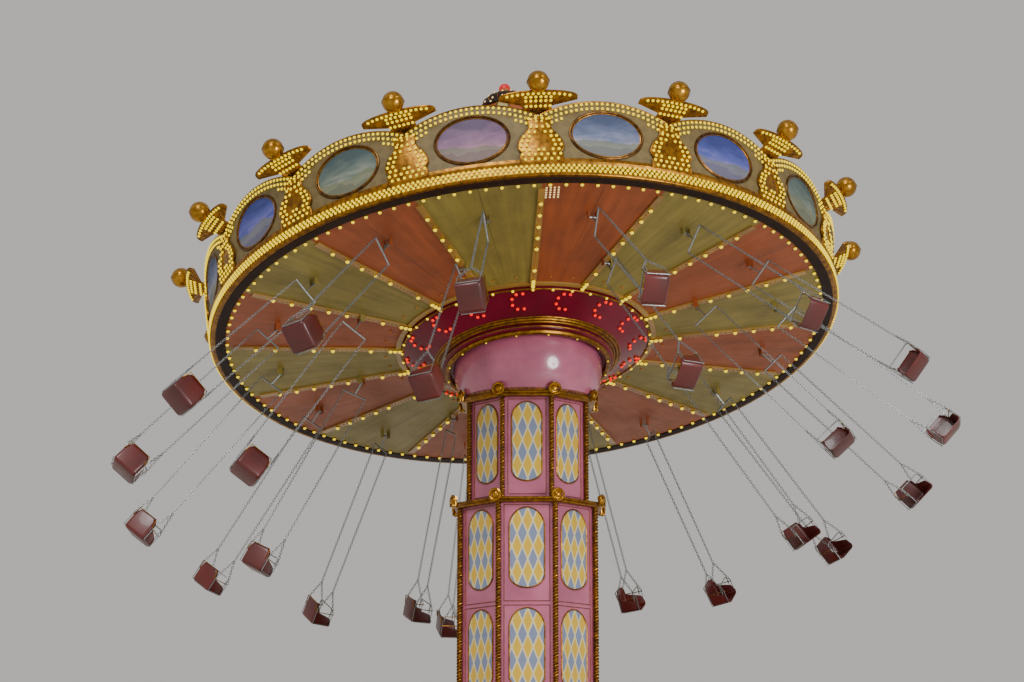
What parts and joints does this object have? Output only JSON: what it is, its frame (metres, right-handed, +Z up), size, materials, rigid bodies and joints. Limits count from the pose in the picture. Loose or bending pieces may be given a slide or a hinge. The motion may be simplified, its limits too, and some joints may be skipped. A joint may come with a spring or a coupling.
{
  "type": "chair swing carousel",
  "caption": "Chair-swing carousel: tilting lit canopy with picture boards on a telescopic octagonal tower, chairs flung out on chains.",
  "frame": {"origin": "on the ground, on the tower's axis", "axes": "+Z up along the tower; the canopy leans towards +Y and its high side faces -Y"},
  "size_m": [14.4738, 14.6183, 15.6786],
  "materials": {
    "structural_steel": "satin",
    "deck_boards": "matte",
    "painted_skirt": "satin",
    "painted_plinth": "gloss",
    "tower_panels": "gloss",
    "gilded_rope": "gloss",
    "gloss_bowl": "gloss",
    "drum_enamel": "gloss",
    "ceiling_panels": "satin",
    "ceiling_battens": "satin",
    "dark_fascia": "satin",
    "gilded_trim": "gloss",
    "picture_boards": "satin",
    "gilded_crest": "gloss",
    "roof_panels": "satin",
    "crown_paint": "satin",
    "beacon_red": "gloss",
    "step_plate": "matte",
    "chair_shell": "gloss"
  },
  "bodies": {
    "base": {"base_frame": "structural_steel", "deck": "deck_boards", "deck_skirt": "painted_skirt", "tower_plinth": "painted_plinth", "step_flight_1": "step_plate", "step_flight_2": "step_plate", "step_flight_3": "step_plate", "step_flight_4": "step_plate"},
    "tower_lower": {"lower_tower_wall": "tower_panels", "lower_tower_columns": "gilded_rope"},
    "tower_middle": {"middle_tower_wall": "tower_panels", "middle_tower_columns": "gilded_rope"},
    "tower_upper": {"upper_tower_wall": "tower_panels", "upper_tower_columns": "gilded_rope", "tilt_bowl": "gloss_bowl", "pivot_fork": "structural_steel"},
    "head": {"tilt_head": "structural_steel"},
    "canopy": {"slewing_hub": "structural_steel", "hub_drum": "drum_enamel", "ceiling": "ceiling_panels", "ceiling_battens": "ceiling_battens", "fascia_beam": "dark_fascia", "cornice": "gilded_trim", "picture_boards": "picture_boards", "crests": "gilded_crest", "roof": "roof_panels", "crown": "crown_paint", "beacon": "beacon_red"},
    "outer_chair_01": {"outer_chair_01": "chair_shell"},
    "outer_chair_02": {"outer_chair_02": "chair_shell"},
    "outer_chair_03": {"outer_chair_03": "chair_shell"},
    "outer_chair_04": {"outer_chair_04": "chair_shell"},
    "outer_chair_05": {"outer_chair_05": "chair_shell"},
    "outer_chair_06": {"outer_chair_06": "chair_shell"},
    "outer_chair_07": {"outer_chair_07": "chair_shell"},
    "outer_chair_08": {"outer_chair_08": "chair_shell"},
    "outer_chair_09": {"outer_chair_09": "chair_shell"},
    "outer_chair_10": {"outer_chair_10": "chair_shell"},
    "outer_chair_11": {"outer_chair_11": "chair_shell"},
    "outer_chair_12": {"outer_chair_12": "chair_shell"},
    "outer_chair_13": {"outer_chair_13": "chair_shell"},
    "outer_chair_14": {"outer_chair_14": "chair_shell"},
    "outer_chair_15": {"outer_chair_15": "chair_shell"},
    "outer_chair_16": {"outer_chair_16": "chair_shell"},
    "inner_chair_01": {"inner_chair_01": "chair_shell"},
    "inner_chair_02": {"inner_chair_02": "chair_shell"},
    "inner_chair_03": {"inner_chair_03": "chair_shell"},
    "inner_chair_04": {"inner_chair_04": "chair_shell"},
    "inner_chair_05": {"inner_chair_05": "chair_shell"},
    "inner_chair_06": {"inner_chair_06": "chair_shell"},
    "inner_chair_07": {"inner_chair_07": "chair_shell"},
    "inner_chair_08": {"inner_chair_08": "chair_shell"}
  },
  "joints": [
    {"name": "tower_turn", "type": "hinge", "parent": "base", "child": "tower_lower", "pos_m": [0, 0, 0.9], "axis": [0, 0, 1], "continuous": true},
    {"name": "mast_lift", "type": "slide", "parent": "tower_lower", "child": "tower_middle", "axis": [0, 0, 1], "range_m": [-3.4, 0]},
    {"name": "upper_lift", "type": "slide", "parent": "tower_middle", "child": "tower_upper", "axis": [0, 0, 1], "range_m": [-1.73, 0]},
    {"name": "canopy_tilt", "type": "hinge", "parent": "tower_upper", "child": "head", "pos_m": [0, 0, 10.00703], "axis": [-1, 0, 0], "range_deg": [-15, 0]},
    {"name": "canopy_spin", "type": "hinge", "parent": "head", "child": "canopy", "pos_m": [0, 0.17496, 10.66], "axis": [0, 0.2588, 0.9659], "continuous": true},
    {"name": "chair_swing", "type": "hinge", "parent": "canopy", "child": "outer_chair_01", "pos_m": [1.56751, -3.82587, 11.58878], "axis": [-0.9342, -0.3446, 0.0923], "range_deg": [-44, 8]},
    {"name": "outer_swing_02", "type": "hinge", "parent": "canopy", "child": "outer_chair_02", "pos_m": [3.01906, -2.94463, 11.35265], "axis": [-0.7266, -0.6637, 0.1778], "range_deg": [-44, 8]},
    {"name": "outer_swing_03", "type": "hinge", "parent": "canopy", "child": "outer_chair_03", "pos_m": [4.01099, -1.59392, 10.99073], "axis": [-0.4083, -0.8817, 0.2363], "range_deg": [-44, 8]},
    {"name": "outer_swing_04", "type": "hinge", "parent": "canopy", "child": "outer_chair_04", "pos_m": [4.39229, 0.02064, 10.55811], "axis": [-0.0279, -0.9655, 0.2587], "range_deg": [-44, 8]},
    {"name": "outer_swing_05", "type": "hinge", "parent": "canopy", "child": "outer_chair_05", "pos_m": [4.10489, 1.65325, 10.12065], "axis": [0.3567, -0.9024, 0.2418], "range_deg": [-44, 8]},
    {"name": "outer_swing_06", "type": "hinge", "parent": "canopy", "child": "outer_chair_06", "pos_m": [3.19257, 3.05534, 9.74496], "axis": [0.6871, -0.7018, 0.1881], "range_deg": [-44, 8]},
    {"name": "outer_swing_07", "type": "hinge", "parent": "canopy", "child": "outer_chair_07", "pos_m": [1.7942, 4.01347, 9.48823], "axis": [0.9128, -0.3944, 0.1057], "range_deg": [-44, 8]},
    {"name": "outer_swing_08", "type": "hinge", "parent": "canopy", "child": "outer_chair_08", "pos_m": [0.12269, 4.38178, 9.38955], "axis": [0.9996, -0.027, 0.0072], "range_deg": [-44, 8]},
    {"name": "outer_swing_09", "type": "hinge", "parent": "canopy", "child": "outer_chair_09", "pos_m": [-1.56751, 4.10417, 9.46393], "axis": [0.9342, 0.3446, -0.0923], "range_deg": [-44, 8]},
    {"name": "outer_swing_10", "type": "hinge", "parent": "canopy", "child": "outer_chair_10", "pos_m": [-3.01906, 3.22294, 9.70006], "axis": [0.7266, 0.6637, -0.1778], "range_deg": [-44, 8]},
    {"name": "outer_swing_11", "type": "hinge", "parent": "canopy", "child": "outer_chair_11", "pos_m": [-4.01099, 1.87222, 10.06198], "axis": [0.4083, 0.8817, -0.2363], "range_deg": [-44, 8]},
    {"name": "outer_swing_12", "type": "hinge", "parent": "canopy", "child": "outer_chair_12", "pos_m": [-4.39229, 0.25766, 10.4946], "axis": [0.0279, 0.9655, -0.2587], "range_deg": [-44, 8]},
    {"name": "outer_swing_13", "type": "hinge", "parent": "canopy", "child": "outer_chair_13", "pos_m": [-4.10489, -1.37494, 10.93206], "axis": [-0.3567, 0.9024, -0.2418], "range_deg": [-44, 8]},
    {"name": "outer_swing_14", "type": "hinge", "parent": "canopy", "child": "outer_chair_14", "pos_m": [-3.19257, -2.77704, 11.30775], "axis": [-0.6871, 0.7018, -0.1881], "range_deg": [-44, 8]},
    {"name": "outer_swing_15", "type": "hinge", "parent": "canopy", "child": "outer_chair_15", "pos_m": [-1.7942, -3.73517, 11.56448], "axis": [-0.9128, 0.3944, -0.1057], "range_deg": [-44, 8]},
    {"name": "outer_swing_16", "type": "hinge", "parent": "canopy", "child": "outer_chair_16", "pos_m": [-0.12269, -4.10347, 11.66316], "axis": [-0.9996, 0.027, -0.0072], "range_deg": [-44, 8]},
    {"name": "inner_swing_01", "type": "hinge", "parent": "canopy", "child": "inner_chair_01", "pos_m": [0.523, -2.85168, 11.24861], "axis": [-0.9859, -0.1619, 0.0434], "range_deg": [-35, 6.4]},
    {"name": "inner_swing_02", "type": "hinge", "parent": "canopy", "child": "inner_chair_02", "pos_m": [2.54478, -1.62426, 10.91972], "axis": [-0.5786, -0.7878, 0.2111], "range_deg": [-35, 6.4]},
    {"name": "inner_swing_03", "type": "hinge", "parent": "canopy", "child": "inner_chair_03", "pos_m": [3.07585, 0.62455, 10.31716], "axis": [0.1676, -0.9523, 0.2552], "range_deg": [-35, 6.4]},
    {"name": "inner_swing_04", "type": "hinge", "parent": "canopy", "child": "inner_chair_04", "pos_m": [1.80514, 2.57743, 9.79388], "axis": [0.8156, -0.5589, 0.1497], "range_deg": [-35, 6.4]},
    {"name": "inner_swing_05", "type": "hinge", "parent": "canopy", "child": "inner_chair_05", "pos_m": [-0.523, 3.09041, 9.65643], "axis": [0.9859, 0.1619, -0.0434], "range_deg": [-35, 6.4]},
    {"name": "inner_swing_06", "type": "hinge", "parent": "canopy", "child": "inner_chair_06", "pos_m": [-2.54478, 1.863, 9.98531], "axis": [0.5786, 0.7878, -0.2111], "range_deg": [-35, 6.4]},
    {"name": "inner_swing_07", "type": "hinge", "parent": "canopy", "child": "inner_chair_07", "pos_m": [-3.07585, -0.38582, 10.58788], "axis": [-0.1676, 0.9523, -0.2552], "range_deg": [-35, 6.4]},
    {"name": "inner_swing_08", "type": "hinge", "parent": "canopy", "child": "inner_chair_08", "pos_m": [-1.80514, -2.3387, 11.11116], "axis": [-0.8156, 0.5589, -0.1497], "range_deg": [-35, 6.4]}
  ],
  "couplings": [
    {"joint": "upper_lift", "follows": "mast_lift", "ratio": 0.5088},
    {"joint": "canopy_tilt", "follows": "mast_lift", "rad_per_m": 0.07699},
    {"joint": "outer_swing_02", "follows": "chair_swing", "ratio": 1},
    {"joint": "outer_swing_03", "follows": "chair_swing", "ratio": 1},
    {"joint": "outer_swing_04", "follows": "chair_swing", "ratio": 1},
    {"joint": "outer_swing_05", "follows": "chair_swing", "ratio": 1},
    {"joint": "outer_swing_06", "follows": "chair_swing", "ratio": 1},
    {"joint": "outer_swing_07", "follows": "chair_swing", "ratio": 1},
    {"joint": "outer_swing_08", "follows": "chair_swing", "ratio": 1},
    {"joint": "outer_swing_09", "follows": "chair_swing", "ratio": 1},
    {"joint": "outer_swing_10", "follows": "chair_swing", "ratio": 1},
    {"joint": "outer_swing_11", "follows": "chair_swing", "ratio": 1},
    {"joint": "outer_swing_12", "follows": "chair_swing", "ratio": 1},
    {"joint": "outer_swing_13", "follows": "chair_swing", "ratio": 1},
    {"joint": "outer_swing_14", "follows": "chair_swing", "ratio": 1},
    {"joint": "outer_swing_15", "follows": "chair_swing", "ratio": 1},
    {"joint": "outer_swing_16", "follows": "chair_swing", "ratio": 1},
    {"joint": "inner_swing_01", "follows": "chair_swing", "ratio": 0.7954},
    {"joint": "inner_swing_02", "follows": "chair_swing", "ratio": 0.7954},
    {"joint": "inner_swing_03", "follows": "chair_swing", "ratio": 0.7954},
    {"joint": "inner_swing_04", "follows": "chair_swing", "ratio": 0.7954},
    {"joint": "inner_swing_05", "follows": "chair_swing", "ratio": 0.7954},
    {"joint": "inner_swing_06", "follows": "chair_swing", "ratio": 0.7954},
    {"joint": "inner_swing_07", "follows": "chair_swing", "ratio": 0.7954},
    {"joint": "inner_swing_08", "follows": "chair_swing", "ratio": 0.7954}
  ]
}
